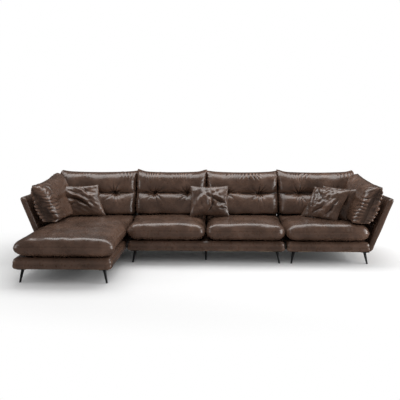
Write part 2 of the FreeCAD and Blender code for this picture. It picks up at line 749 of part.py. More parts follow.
def clear_of_planes(shape, out):
    """Bring a pillow out of the corner, clear of the back and side cushions."""
    side_foot = half - wall + flare(arm_top) - side_width - arm_top * side_lean
    planes = ((unit(0, 1, -lean), Vector(0, back_plane(0), 0)),
              (unit(1, 0, -side_lean), Vector(side_foot, 0, 0)))
    for normal, point in planes:
        past = reach_past(shape, normal, point) + 2 * clear
        if past > 0:
            shape = shape.translated(out * (past / abs(normal.dot(out))))
    return shape


for module in MODULES:
    make_base(module)
    make_webbing(module)
    make_dust_cloth(module)
make_arms()
make_backs()
make_module_legs("chaise", CHAISE_LEFT, CHAISE_RIGHT, CHAISE_FRONT)
make_module_legs("middle", MIDDLE_LEFT, MIDDLE_RIGHT, FRONT)
make_module_legs("end", END_LEFT, END_RIGHT, FRONT)
make_connectors()
seat_cushions = make_seats()
make_back_cushions(seat_cushions)
make_side_cushions(seat_cushions)
make_pillows(seat_cushions)

doc.recompute()
faults = [o.Name for o in doc.Objects if "Invalid" in o.State or "Error" in o.State]
for piece in SUB_PARTS:
    if piece.Shape.isNull() or not piece.Shape.isValid():
        faults.append(piece.Label)
if faults:
    raise RuntimeError("these pieces failed: " + ", ".join(faults))

os.makedirs("parts", exist_ok=True)
for piece in SUB_PARTS:
    piece.Shape.exportStep(f"parts/{piece.Label}.step")
print(len(SUB_PARTS), "sub-parts written")
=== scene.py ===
"""Leather corner sofa: cushions, leather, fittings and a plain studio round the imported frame."""
import math

import bpy
import numpy as np
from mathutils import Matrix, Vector


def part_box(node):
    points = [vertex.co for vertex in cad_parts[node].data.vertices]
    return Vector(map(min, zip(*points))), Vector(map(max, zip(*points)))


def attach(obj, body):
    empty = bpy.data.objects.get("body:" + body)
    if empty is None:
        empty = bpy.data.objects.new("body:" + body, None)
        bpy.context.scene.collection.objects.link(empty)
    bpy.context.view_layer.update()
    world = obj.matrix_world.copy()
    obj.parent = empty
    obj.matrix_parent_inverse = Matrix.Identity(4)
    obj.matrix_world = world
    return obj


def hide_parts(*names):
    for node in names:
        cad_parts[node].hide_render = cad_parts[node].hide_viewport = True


bl_info = {
    "name": "Corner sofa",
    "version": (1, 0, 0),
    "blender": (4, 5, 0),
    "location": "View3D > Sidebar > Sofa",
    "description": "Dresses the frame of a leather corner sofa with cushions and finishes",
    "category": "Object",
}

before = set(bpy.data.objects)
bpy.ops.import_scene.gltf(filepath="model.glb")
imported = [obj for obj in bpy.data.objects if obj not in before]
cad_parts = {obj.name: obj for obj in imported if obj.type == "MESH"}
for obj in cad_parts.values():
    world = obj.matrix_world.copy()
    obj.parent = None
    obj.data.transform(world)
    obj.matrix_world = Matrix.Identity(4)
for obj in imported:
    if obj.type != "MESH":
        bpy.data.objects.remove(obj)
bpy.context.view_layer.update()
FRAME_BODY = "sofa_frame"


def node_box(node):
    """The lowest and highest corners of a CAD node, as arrays."""
    low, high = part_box(node)
    return np.array(low), np.array(high)


# Shared geometry of the frame, in metres
PANEL_LEAN = math.tan(math.radians(20.0))  # of the arms too: run outward over rise
PANEL_FACE, PANEL_FOOT = node_box("back_cover_middle")[0][1:]
ARM_FACE = node_box("arm_cover_right")[0][0]
ROW_FRONT = node_box("base_cover_middle")[0][1]
REST = 0.001        # left between a cushion and what it rests on
SEAM_HALF = 0.0022  # half the thickness of a sewn edge
WELT = 0.0025       # how far a sewn edge stands out
FULL_BEND = 0.0008  # a bend that counts as a full ridge or crease


# Surfaces worked out with numpy
def box_skin(cells):
    """Whole-number points and quads of a box's skin, with cells along each axis.

    Each side is a grid of points (i, j) whose third coordinate is 0 or its largest value.
    A point's key i + j * (nx + 1) + k * (nx + 1) * (ny + 1) joins the sides at their edges.
    """
    points = []
    quads = []
    start = 0
    for axis in range(3):
        first, second = (axis + 1) % 3, (axis + 2) % 3
        m, n = cells[first], cells[second]
        i, j = np.meshgrid(np.arange(m + 1), np.arange(n + 1), indexing="ij")
        corner = (np.arange(m)[:, None] * (n + 1) + np.arange(n)[None, :]).ravel()
        ring = np.stack([corner, corner + n + 1, corner + n + 2, corner + 1], axis=1)
        for side in (0, cells[axis]):
            grid = np.empty((i.size, 3), dtype=int)
            grid[:, axis] = side
            grid[:, first] = i.ravel()
            grid[:, second] = j.ravel()
            points.append(grid)
            quads.append((ring if side else ring[:, ::-1]) + start)
            start += i.size
    points = np.concatenate(points)
    steps = np.array([1, cells[0] + 1, (cells[0] + 1) * (cells[1] + 1)])
    _, chosen, place = np.unique(points @ steps, return_index=True, return_inverse=True)
    return points[chosen], place.ravel()[np.concatenate(quads)]


def padded_skin(size, radii, cell, under=2.0, rear=2.0):
    """Skin of a rounded box about the origin: a core point plus radii along a unit way.

    The core point is the box point, clamped radii inside the box, and the way runs from
    there to the box point, measured in radii. Its length is sum(|way|^p)^(1/p), where p is
    2 and goes to under on the lower half and to rear at the rear, which are squarer for it.
    """
    half = np.asarray(size, dtype=float) / 2
    radii = np.minimum(radii, half * 0.98)
    cells = np.maximum(np.round(2 * half / cell).astype(int), 6)
    grid, quads = box_skin(cells)
    skin = (grid / cells * 2 - 1) * half
    core = np.clip(skin, radii - half, half - radii)
    way = (skin - core) / radii
    power = 2 + (under - 2) * smoothstep(0, 0.5, -skin[:, 2:] / half[2])
    power += (rear - 2) * smoothstep(0.3, 0.7, skin[:, 1:2] / half[1])
    way /= (np.abs(way) ** power).sum(axis=1, keepdims=True) ** (1 / power)
    return core + way * radii, quads


def crowd(share):
    """Shares from -1 to 1, moved closer together near both ends."""
    return share * (1.3 - 0.3 * share ** 2)


def stuffed_skin(size, full, powers, fall, draw, cell):
    """A sewn cushion about the origin, standing in XZ with its face towards -Y.

    Two faces meet in a seam all round. With a across and b up, both from -1 to 1, a face
    stands off by full * ((1 - |a|^p)(1 - |b|^q))^fall, and the seam draws in between its
    corners. full is for front and rear, powers are p and then q for the lower and the upper
    half, and draw is for the sides, the foot and the top.
    Returns points, quads, a, b and the side: -1 front, 0 at the seam, 1 rear.
    """
    width, height = size
    cells = np.array([round(width / cell), 2, round(height / cell)])
    grid, quads = box_skin(cells)
    a, side, b = (grid / cells * 2 - 1).T
    a, b = crowd(a), crowd(b)
    power = np.where(b < 0, powers[1], powers[2])
    edge = (1 - np.abs(a) ** powers[0]) * (1 - np.abs(b) ** power)
    thick = np.where(side < 0, full[0], full[1]) * np.clip(edge, 0, 1) ** fall
    x = width / 2 * a - draw[0] * (1 - b ** 2) * a ** 3
    z = height / 2 * b - np.where(b < 0, draw[1], draw[2]) * (1 - a ** 2) * b ** 3
    y = side * np.maximum(thick, SEAM_HALF)
    welt = (side == 0) * WELT
    x += welt * np.sign(a) * (np.abs(a) > 0.999)
    z += welt * np.sign(b) * (np.abs(b) > 0.999)
    return np.stack([x, y, z], axis=1), quads, a, b, side


def outward(points, quads):
    """The quads, turned over where they would enclose a negative volume."""
    a, b, c, d = (points[quads[:, k]] for k in range(4))
    volume = np.einsum("ij,ij->i", np.cross(c - a, d - b), a + b + c + d).sum()
    return quads if volume > 0 else quads[:, ::-1]


def surface_normals(points, quads):
    """Unit normals at the points: the sum of the cross products of their quads' diagonals."""
    a, b, c, d = (points[quads[:, k]] for k in range(4))
    face = np.cross(c - a, d - b)
    total = np.zeros_like(points)
    for k in range(4):
        np.add.at(total, quads[:, k], face)
    return total / np.maximum(np.linalg.norm(total, axis=1, keepdims=True), 1e-12)


def neighbour_mean(values, quads):
    """Mean of each point's neighbours along the quads' edges."""
    total = np.zeros_like(values)
    count = np.zeros(len(values))
    for k in range(4):
        one, other = quads[:, k], quads[:, (k + 1) % 4]
        np.add.at(total, one, values[other])
        np.add.at(count, one, 1)
    return (total.T / count).T


def bend_of(points, quads, smooth=2):
    """Signed bend at the points: how far each stands out from the mean of its neighbours."""
    normals = surface_normals(points, quads)
    bend = np.einsum("ij,ij->i", points - neighbour_mean(points, quads), normals)
    for _ in range(smooth):
        bend = 0.5 * bend + 0.5 * neighbour_mean(bend, quads)
    return bend


def ripple(points, wavelength, seed, waves=9):
    """Slow uneven waves, about -1 to 1: a sum of sines along seeded directions."""
    rng = np.random.default_rng(seed)
    ways = rng.normal(size=(waves, points.shape[1]))
    ways /= np.linalg.norm(ways, axis=1, keepdims=True)
    ways *= 2 * math.pi / (wavelength * rng.uniform(0.7, 1.6, (waves, 1)))
    phases = rng.uniform(0, 2 * math.pi, waves)
    return np.sin(points @ ways.T + phases).sum(axis=1) / math.sqrt(waves) / 1.2


def ridges(angle):
    """Rounded folds with sharp valleys between them, 0 to 1, one to each half turn."""
    return np.abs(np.sin(angle)) ** 0.7


def fade(distance, reach):
    """1 at no distance, falling smoothly to nothing a few reaches away."""
    return np.exp(-(distance / reach) ** 2)


def smoothstep(low, high, value):
    t = np.clip((value - low) / (high - low), 0, 1)
    return t * t * (3 - 2 * t)


def put_mesh(name, points, quads):
    """A mesh object of quads at the origin, smooth, linked to the scene."""
    mesh = bpy.data.meshes.new(name)
    mesh.vertices.add(len(points))
    mesh.vertices.foreach_set("co", np.ascontiguousarray(points, dtype=np.float32).ravel())
    mesh.loops.add(quads.size)
    mesh.loops.foreach_set("vertex_index", quads.astype(np.int32).ravel())
    mesh.polygons.add(len(quads))
    mesh.polygons.foreach_set("loop_start", np.arange(0, quads.size, quads.shape[1]))
    mesh.polygons.foreach_set("use_smooth", np.ones(len(quads), dtype=bool))
    mesh.update(calc_edges=True)
    mesh.validate()
    piece = bpy.data.objects.new(name, mesh)
    bpy.context.scene.collection.objects.link(piece)
    return piece


def put_attribute(piece, name, values):
    """A number at each point of a piece, which its material reads."""
    attribute = piece.data.attributes.new(name, "FLOAT", "POINT")
    attribute.data.foreach_set("value", np.asarray(values, dtype=np.float32))


def put_leather(name, points, quads, material):
    """A piece of leather, whose material reads its bend: 1 on a ridge, -1 in a crease, where it
    gets painted shade.
    """
    piece = put_mesh(name, points, quads)
    put_attribute(piece, "bend", np.clip(bend_of(points, quads) / FULL_BEND, -1, 1))
    piece.data.materials.append(material)
    return piece


def put_cushion(name, node, points, quads):
    """A cushion that stands for a CAD solid and moves with its body, named as the solid."""
    piece = put_leather(name, points, quads, cushion_leather())
    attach(piece, node)
    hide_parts(node)


def put_band(name, node, points, quads):
    """A firm upholstered piece of the frame that stands for a CAD solid."""
    piece = put_leather(name, points, quads, frame_leather())
    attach(piece, FRAME_BODY)
    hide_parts(node)


# Materials
def new_material(name):
    """A node material with its shader and output; returns it, its nodes and its links."""
    material = bpy.data.materials.new(name)
    material.use_nodes = True
    return material, material.node_tree.nodes, material.node_tree.links


def add_node(nodes, kind, **values):
    """A node of a kind with some of its inputs set by name."""
    node = nodes.new(kind)
    for key, value in values.items():
        node.inputs[key].default_value = value
    return node


def between(nodes, links, value, span, result):
    """A socket that maps a socket's span of values to a span of results, clamped."""
    node = add_node(nodes, "ShaderNodeMapRange",
                    **{"From Min": span[0], "From Max": span[1],
                       "To Min": result[0], "To Max": result[1]})
    links.new(value, node.inputs["Value"])
    return node.outputs["Result"]


def math_of(nodes, links, operation, first, second):
    """A socket with the result of a math operation on two sockets."""
    node = nodes.new("ShaderNodeMath")
    node.operation = operation
    links.new(first, node.inputs[0])
    links.new(second, node.inputs[1])
    return node.outputs[0]


def bump_of(nodes, links, height, strength, distance, shader):
    """Bump from a height socket into a shader, on top of any bump that it has."""
    node = add_node(nodes, "ShaderNodeBump", Strength=strength, Distance=distance)
    links.new(height, node.inputs["Height"])
    for link in shader.inputs["Normal"].links:
        links.new(link.from_socket, node.inputs["Normal"])
    links.new(node.outputs["Normal"], shader.inputs["Normal"])


def ramp(nodes, stops):
    """A colour ramp with (place, colour) stops."""
    node = nodes.new("ShaderNodeValToRGB")
    elements = node.color_ramp.elements
    while len(elements) < len(stops):
        elements.new(0.5)
    for element, (place, colour) in zip(elements, stops):
        element.position = place
        element.color = (*colour, 1)
    return node


def mix_colour(nodes, links, factor, first, second, blend="MIX"):
    """A colour mix; factor, first and second are sockets or plain values."""
    node = nodes.new("ShaderNodeMix")
    node.data_type = "RGBA"
    node.blend_type = blend
    for socket, value in ((node.inputs[0], factor), (node.inputs[6], first),
                          (node.inputs[7], second)):
        if hasattr(value, "links"):
            links.new(value, socket)
        elif isinstance(value, tuple):
            socket.default_value = (*value, 1)
        else:
            socket.default_value = value
    return node.outputs[2]


def leather(name, mid, dark, light):
    """Semi-gloss leather: cloudy colour, pebbled grain, painted shade in its creases, paler worn
    ridges.
    """
    if name in bpy.data.materials:
        return bpy.data.materials[name]
    settings = bpy.context.scene.sofa_leather
    material, nodes, links = new_material(name)
    shader = nodes["Principled BSDF"]
    where = nodes.new("ShaderNodeTexCoord").outputs["Object"]
    cloud = add_node(nodes, "ShaderNodeTexNoise", Scale=5.0, Detail=5.0, Roughness=0.6)
    links.new(where, cloud.inputs["Vector"])
    tone = ramp(nodes, [(0.32, dark), (0.52, mid), (0.72, light)])
    links.new(cloud.outputs["Fac"], tone.inputs["Fac"])
    bend = nodes.new("ShaderNodeAttribute")
    bend.attribute_name = "bend"
    # painted shade: the deeper a crease, the more its colour goes dark
    crease = between(nodes, links, bend.outputs["Fac"], (0.0, -0.8), (0.0, 0.75))
    worn = between(nodes, links, bend.outputs["Fac"], (0.15, 1.0), (0.0, 0.5))
    # colour of the painted shade in creases, a darker copy of the shade colour
    deep = tuple(0.45 * value for value in dark)
    pale = tuple(1.35 * value for value in light)
    # mix in the painted crease shade
    colour = mix_colour(nodes, links, crease, tone.outputs["Color"], deep)
    colour = mix_colour(nodes, links, worn, colour, pale)
    grain = add_node(nodes, "ShaderNodeTexVoronoi", Scale=1.0 / settings.grain_size)
    grain.feature = "DISTANCE_TO_EDGE"
    links.new(where, grain.inputs["Vector"])
    pits = ramp(nodes, [(0.0, (0, 0, 0)), (0.16, (1, 1, 1))])
    links.new(grain.outputs["Distance"], pits.inputs["Fac"])
    colour = mix_colour(nodes, links, 0.22, colour, pits.outputs["Color"], "MULTIPLY")
    links.new(colour, shader.inputs["Base Color"])
    shine = add_node(nodes, "ShaderNodeTexNoise", Scale=16.0, Detail=6.0, Roughness=0.65)
    links.new(where, shine.inputs["Vector"])
    spread = between(nodes, links, shine.outputs["Fac"], (0.3, 0.7),
                     (settings.roughness - 0.05, settings.roughness + 0.10))
    links.new(spread, shader.inputs["Roughness"])
    rumple = add_node(nodes, "ShaderNodeTexNoise", Scale=38.0, Detail=4.0, Roughness=0.55)
    links.new(where, rumple.inputs["Vector"])
    bump_of(nodes, links, rumple.outputs["Fac"], 0.22, 0.003, shader)
    bump_of(nodes, links, pits.outputs["Color"], 0.20, 0.0005, shader)
    shader.inputs["Coat Weight"].default_value = 0.40
    shader.inputs["Coat Roughness"].default_value = 0.20
    return material


def cushion_leather():
    settings = bpy.context.scene.sofa_leather
    return leather("leather_of_cushions", tuple(settings.colour), tuple(settings.shade),
                   tuple(settings.light))


def frame_leather():
    settings = bpy.context.scene.sofa_leather
    return leather("leather_of_frame", *(tuple(0.92 * value for value in colour) for colour in
                                      (settings.colour, settings.shade, settings.light)))


def timber():
    """Planed pine: long rings along X, bent by noise, with a satin bump."""
    material, nodes, links = new_material("timber")
    shader = nodes["Principled BSDF"]
    where = nodes.new("ShaderNodeTexCoord").outputs["Object"]
    stretch = add_node(nodes, "ShaderNodeMapping", Scale=(1.5, 14.0, 14.0))
    links.new(where, stretch.inputs["Vector"])
    rings = add_node(nodes, "ShaderNodeTexNoise", Scale=4.0, Detail=6.0, Distortion=0.8)
    links.new(stretch.outputs["Vector"], rings.inputs["Vector"])
    tone = ramp(nodes, [(0.3, (0.36, 0.22, 0.11)), (0.6, (0.58, 0.40, 0.23)),
                        (0.8, (0.66, 0.49, 0.30))])
    links.new(rings.outputs["Fac"], tone.inputs["Fac"])
    links.new(tone.outputs["Color"], shader.inputs["Base Color"])
    shader.inputs["Roughness"].default_value = 0.6
    bump_of(nodes, links, rings.outputs["Fac"], 0.2, 0.001, shader)
    return material


def woven(name, colour, threads):
    """Flat woven cloth: two crossed waves of threads, threads to the metre."""
    material, nodes, links = new_material(name)
    shader = nodes["Principled BSDF"]
    where = nodes.new("ShaderNodeTexCoord").outputs["Object"]
    heights = []
    for direction in ("X", "Y"):
        wave = add_node(nodes, "ShaderNodeTexWave", Scale=threads / 20, Distortion=0.4)
        wave.bands_direction = direction
        links.new(where, wave.inputs["Vector"])
        heights.append(wave.outputs["Fac"])
    weave = math_of(nodes, links, "MAXIMUM", *heights)
    tone = ramp(nodes, [(0.2, tuple(0.4 * value for value in colour)), (0.9, colour)])
    links.new(weave, tone.inputs["Fac"])
    links.new(tone.outputs["Color"], shader.inputs["Base Color"])
    shader.inputs["Roughness"].default_value = 0.85
    bump_of(nodes, links, weave, 0.4, 0.0008, shader)
    return material


def speckled(name, colour, roughness, grain, depth):
    """Powder coat or moulded plastic: a plain colour with a fine uneven skin."""
    material, nodes, links = new_material(name)
    shader = nodes["Principled BSDF"]
    where = nodes.new("ShaderNodeTexCoord").outputs["Object"]
    skin = add_node(nodes, "ShaderNodeTexNoise", Scale=grain, Detail=3.0)
    links.new(where, skin.inputs["Vector"])
    tone = ramp(nodes, [(0.3, tuple(0.7 * value for value in colour)),
                        (0.7, tuple(1.3 * value for value in colour))])
    links.new(skin.outputs["Fac"], tone.inputs["Fac"])
    links.new(tone.outputs["Color"], shader.inputs["Base Color"])
    shader.inputs["Roughness"].default_value = roughness
    bump_of(nodes, links, skin.outputs["Fac"], 0.25, depth, shader)
    return material


def finish_nodes(prefixes, material):
    """Give a material to every CAD node whose name starts with one of the prefixes."""
    for name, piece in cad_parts.items():
        if name.startswith(prefixes):
            piece.data.materials.clear()
            piece.data.materials.append(material)


# Settings that a user would change
class SofaLeather(bpy.types.PropertyGroup):
    colour: bpy.props.FloatVectorProperty(
        name="Leather", description="Main colour of the leather", subtype="COLOR",
        default=(0.098, 0.0550, 0.0370), min=0, max=1)
    shade: bpy.props.FloatVectorProperty(
        name="Shade", description="Darker clouds in the leather", subtype="COLOR",
        default=(0.062, 0.0345, 0.0230), min=0, max=1)
    light: bpy.props.FloatVectorProperty(
        name="Light", description="Paler clouds in the leather", subtype="COLOR",
        default=(0.150, 0.0860, 0.0590), min=0, max=1)
    roughness: bpy.props.FloatProperty(
        name="Roughness", description="Mean roughness of the leather", default=0.27,
        min=0.1, max=1)
    grain_size: bpy.props.FloatProperty(
        name="Grain", description="Size of the pebbles of the grain", default=0.0032,
        min=0.001, max=0.02, unit="LENGTH")


class SofaCushions(bpy.types.PropertyGroup):
    cell: bpy.props.FloatProperty(
        name="Mesh cell", description="Size of a mesh cell on a cushion", default=0.0072,
        min=0.004, max=0.03, unit="LENGTH")
    seat_crown: bpy.props.FloatProperty(
        name="Seat crown", description="Rise of a seat cushion's middle", default=0.030,
        min=0, max=0.05, unit="LENGTH")
    seam_depth: bpy.props.FloatProperty(
        name="Cross seam", description="Depth of the seam across a back cushion",
        default=0.034, min=0, max=0.08, unit="LENGTH")
    tuft_depth: bpy.props.FloatProperty(
        name="Tuft", description="Extra depth at a sewn tuft", default=0.045, min=0,
        max=0.08, unit="LENGTH")
    fold_depth: bpy.props.FloatProperty(
        name="Folds", description="Height of the folds round a tuft", default=0.019, min=0,
        max=0.03, unit="LENGTH")


class SofaStage(bpy.types.PropertyGroup):
    lens: bpy.props.FloatProperty(
        name="Lens", description="Focal length of the camera in millimetres", default=42.02,
        min=10, max=200)
    eye: bpy.props.FloatVectorProperty(
        name="Eye", description="Place of the camera", subtype="XYZ", unit="LENGTH",
        default=(0.0817, -4.9709, 1.4544))
    pitch: bpy.props.FloatProperty(
        name="Pitch", description="Tilt of the camera below the horizon", subtype="ANGLE",
        default=0.156)
    yaw: bpy.props.FloatProperty(
        name="Yaw", description="Turn of the camera to the left", subtype="ANGLE",
        default=0.0277)
    key: bpy.props.FloatProperty(
        name="Key lamp", description="Power of the large lamp", default=105.0, min=0,
        unit="POWER")


# Seat cushions
SEAT_RADII = (0.105, 0.100, 0.090)
SEAT_SEED = 11
SEAT_GAP = 0.004      # left between neighbours
FRONT_SPREAD = 0.024  # how much wider the chaise cushion is at the right of its front end
SIDE_SPREAD = 0.040   # and at its left, in front of the row


def seat_points(node, seed):
    """A rounded block with a crowned top, its upper front edge and ends puckered.

    With x and y from -1 to 1, its top rises by
    crown * (1 - |x|^3)(1 - |(y + 0.22) / 1.22|^2.4).
    """
    settings = bpy.context.scene.sofa_cushions
    low, high = node_box(node)
    crown = settings.seat_crown
    size = high - low - np.array([SEAT_GAP, SEAT_GAP, crown + REST])
    points, quads = padded_skin(size, SEAT_RADII, settings.cell, rear=6.0)
    half = size / 2
    x, y, z = (points / half).T
    upper = smoothstep(-0.2, 1.0, z)
    lift = crown * (1 - np.abs(x) ** 3) * (1 - np.abs((y + 0.22) / 1.22) ** 2.4) * upper
    draw = 0.010 * (1 - smoothstep(-1.0, -0.3, z))
    points[:, 0] -= np.sign(x) * draw * smoothstep(0.8, 1.0, np.abs(x))
    points[:, 1] -= np.sign(y) * draw * smoothstep(0.8, 1.0, np.abs(y))
    points[:, 2] += lift
    normals = surface_normals(points, quads)
    nose = fade(y + 0.93, 0.10) * smoothstep(-0.3, 0.5, z)
    ends = fade(np.abs(x) - 0.95, 0.07) * smoothstep(-0.4, 0.5, z)
    wobble = ripple(points, 0.30, seed + 3)
    pucker = ridges(points[:, 0] / 0.030 + 2.0 * wobble) * ripple(points, 0.12, seed)
    side = ridges(points[:, 1] / 0.034 + 2.0 * wobble) * ripple(points, 0.10, seed + 1)
    slow = ripple(points, 0.33, seed + 2) * smoothstep(-0.6, 0.2, z)
    seam = fade((z - 0.30) * half[2], 0.0035) * smoothstep(0.72, 0.9, np.maximum(-y, np.abs(x)))
    move = 0.0030 * nose * pucker + 0.0035 * ends * side + 0.00352 * slow - 0.0022 * seam
    points += normals * move[:, None]
    points[:, 2] = np.maximum(points[:, 2], -half[2])
    centre = (low + high) / 2 - np.array([0, 0, crown / 2])
    points += centre
    ahead = 1 - smoothstep(ROW_FRONT - 0.06, ROW_FRONT - 0.01, points[:, 1])
    clear = 1 - smoothstep(ROW_FRONT - 0.66, ROW_FRONT - 0.485, points[:, 1])
    belly = np.clip(1 - ((points[:, 2] - centre[2] - 0.01) / (0.62 * size[2])) ** 2, 0, 1)
    points[:, 0] += belly * (FRONT_SPREAD * clear * smoothstep(0.5, 1.0, x)
                             - SIDE_SPREAD * ahead * smoothstep(0.5, 1.0, -x))
    return points, quads


class SOFA_OT_seats(bpy.types.Operator):
    """Four seat cushions with crowned tops and round noses."""
    bl_idname = "sofa.seats"
    bl_label = "Seat cushions"

    def execute(self, context):
        for seed, place in enumerate(("chaise", "left", "right", "end")):
            node = f"seat_cushion_{place}"
            points, quads = seat_points(node, SEAT_SEED * (seed + 1))
            put_cushion(f"seat_pad_{place}", node, points, quads)
        return {"FINISHED"}


# Back cushions
SEAM_HEIGHT = 0.662
TUFT_PLACE = 0.46
BACK_FULL = (0.176, 0.058)
BACK_PROUD = 0.009  # how much wider a cushion is than its CAD solid
BACK_SINK = 0.004   # how far its foot sinks into the seat


def tuft_folds(across, up, seed, count=11):
    """Folds that radiate from a tuft: ridged waves of the angle, gone at the tuft itself.

    With r the distance, the height is ridges(count * angle / 2 + wobble + 4 r), which rises
    up to r = 0.028 and then fades.
    """
    rng = np.random.default_rng(seed)
    radius = np.hypot(across, up) + 1e-6
    angle = np.arctan2(up, across)
    shift = rng.uniform(0, 2 * math.pi, 4)
    wobble = 0.9 * np.sin(2 * angle + shift[0]) + 0.6 * np.sin(3 * angle + shift[1])
    fold = ridges(count / 2 * angle + wobble + 4.0 * radius)
    strength = 0.65 + 0.35 * np.sin(2 * angle + shift[2])
    rise = np.minimum(radius / 0.028, 1.0)
    return fold * strength * rise * fade(radius, 0.105)


def lobes(rise, seam_rise):
    """How full a back cushion is at a share of its height: a hump each side of its seam."""
    lower = np.sin(np.clip(rise / seam_rise, 0, 1) * math.pi) ** 0.8
    upper = np.sin(np.clip((rise - seam_rise) / (1 - seam_rise), 0, 1) * math.pi) ** 0.8
    return np.where(rise < seam_rise, 0.90 + 0.14 * lower, 0.78 + 0.14 * upper)


def sewn(a, z, width, seed):
    """How deep the cross seam and the two tufts draw in, and the folds round the tufts."""
    settings = bpy.context.scene.sofa_cushions
    seam = np.abs(z - SEAM_HEIGHT + 0.006 * np.sin(a * 5 + seed))
    sink = settings.seam_depth * (0.55 * fade(seam, 0.036) + 0.45 * np.exp(-seam / 0.007))
    sink *= 1 - smoothstep(0.93, 1.0, np.abs(a))
    fold = np.zeros_like(a)
    for place in (-1, 1):
        across = (a - place * TUFT_PLACE) * width / 2
        up = z - SEAM_HEIGHT
        radius = np.hypot(across, up * 1.15)
        sink += settings.tuft_depth * np.exp(-(radius / 0.046) ** 1.2)
        fold += tuft_folds(across, up, seed * 7 + place) - 0.3 * fade(radius, 0.1)
    return sink, settings.fold_depth * fold


def gathered(place, from_side, from_top, seed):
    """Folds across a back cushion's side edges and below its top edge.

    place has the points with their height second; the folds fade away from each edge.
    """
    x, z = place[:, 0], place[:, 1]
    wobble = ripple(place, 0.22, seed + 5)
    gather = ridges(z / 0.0125 + 2.2 * wobble) * np.exp(-from_side / 0.040)
    gather *= (0.5 + 0.5 * ripple(place, 0.09, seed + 9)) * smoothstep(0, 0.012, from_side)
    tuck = ridges(x / 0.0150 + 2.4 * wobble) * np.exp(-((from_top - 0.03) / 0.06) ** 2)
    tuck *= np.maximum(ripple(place, 0.30, seed + 6) + 0.4, 0) * smoothstep(0, 0.012, from_top)
    return 0.0100 * gather + 0.0095 * tuck


def back_points(node, seed, ears):
    """A leaning sewn cushion with two lobes, a cross seam, two tufts and gathered edges.

    Its face stands off by the stuffed skin times lobes, less what seam and tufts draw in,
    and its folds move it along its normals. Its rear is y = PANEL_FACE + PANEL_LEAN *
    (z - PANEL_FOOT). ears are (way, amount) pairs: how far the top corner on that side is
    drawn out.
    """
    low, high = node_box(node)
    width = high[0] - low[0] + BACK_PROUD
    foot = low[2] - BACK_SINK
    height = high[2] - foot - 0.006
    cell = bpy.context.scene.sofa_cushions.cell * 0.72
    points, quads, a, b, side = stuffed_skin((width, height), BACK_FULL, powers=(9, 22, 7),
                                             fall=0.40, draw=(0.003, 0.0, 0.014), cell=cell)
    z = points[:, 2] + height / 2 + foot
    front = np.where(side < 0, np.clip(-points[:, 1] / BACK_FULL[0], 0, 1), 0)
    plump = lobes(np.clip((z - foot) / height, 0, 1), (SEAM_HEIGHT - foot) / height)
    points[:, 1] *= np.where(side < 0, plump, 1)
    sink, fold = sewn(a, z, width, seed)
    points[:, 1] += sink * front
    place = np.stack([points[:, 0], z, points[:, 1]], axis=1)
    move = (fold + 0.0065 * ripple(place, 0.20, seed + 7)) * front
    move += gathered(place, (1 - np.abs(a)) * width / 2, (1 - b) * height / 2, seed)
    points += surface_normals(points, quads) * move[:, None]
    for way, amount in ears:
        near = fade(np.hypot((a - way) * width / 2, (b - 1) * height / 2), 0.070)
        points[:, 0] += way * 0.30 * amount * near
        points[:, 2] += amount * near
    z = np.maximum(points[:, 2], -height / 2) + height / 2 + foot
    limit = width / 2 + 0.0006
    points[:, 0] = np.clip(points[:, 0], -limit, limit) + (low[0] + high[0]) / 2
    rear = PANEL_FACE + (z - PANEL_FOOT) * PANEL_LEAN - REST
    points[:, 1] = rear + np.minimum(points[:, 1] - BACK_FULL[1], 0)
    points[:, 2] = z
    return points, quads


class SOFA_OT_backs(bpy.types.Operator):
    """Four back cushions, each sewn across with two tufts."""
    bl_idname = "sofa.backs"
    bl_label = "Back cushions"

    def execute(self, context):
        ears = {"chaise": ((-1, 0.008), (1, 0.004)), "left": ((-1, 0.022), (1, 0.018)),
                "right": ((-1, 0.008), (1, 0.004)), "end": ((-1, 0.022), (1, 0.010))}
        for seed, (place, corners) in enumerate(ears.items()):
            node = f"back_cushion_{place}"
            points, quads = back_points(node, 5 + 13 * seed, corners)
            put_cushion(f"back_pad_{place}", node, points, quads)
        return {"FINISHED"}


# Side cushions
SIDE_FRONT_TOP = 0.812
SIDE_REAR_TOP = 0.896
SIDE_FULL = (0.108, 0.100)
SIDE_TALL = 0.40      # height of the skin before it is stretched to its top line
SIDE_SEAM = 1.836     # how far out the seam runs at the front top
SIDE_LEAN = 0.43      # how far out it leans to each metre up
SIDE_TOE = 0.085      # how much less far out it runs at the rear
BACK_ROOM = 0.238     # what the back cushions take of the depth in front of their panel


